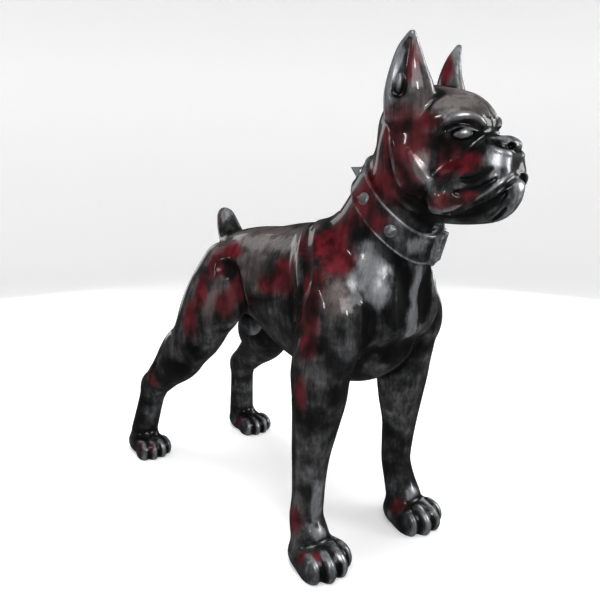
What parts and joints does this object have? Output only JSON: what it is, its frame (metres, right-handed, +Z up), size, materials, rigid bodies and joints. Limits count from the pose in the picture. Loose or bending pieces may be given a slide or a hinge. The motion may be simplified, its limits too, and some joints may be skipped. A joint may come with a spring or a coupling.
{
  "type": "boxer dog statue",
  "caption": "Standing boxer dog with cropped ears and a docked tail, cast in one piece with its studded collar, that stands on its own four paws.",
  "frame": {"origin": "on the ground, under the middle of the statue's bounding box", "axes": "+X towards the muzzle, +Y to the dog's left, +Z up"},
  "size_m": [0.9862, 0.3724, 0.9027],
  "materials": {
    "patinated_resin": "clear-coated black and gunmetal silver with crimson patches"
  },
  "bodies": {
    "root": {"boxer_statue": "patinated_resin"}
  },
  "joints": []
}
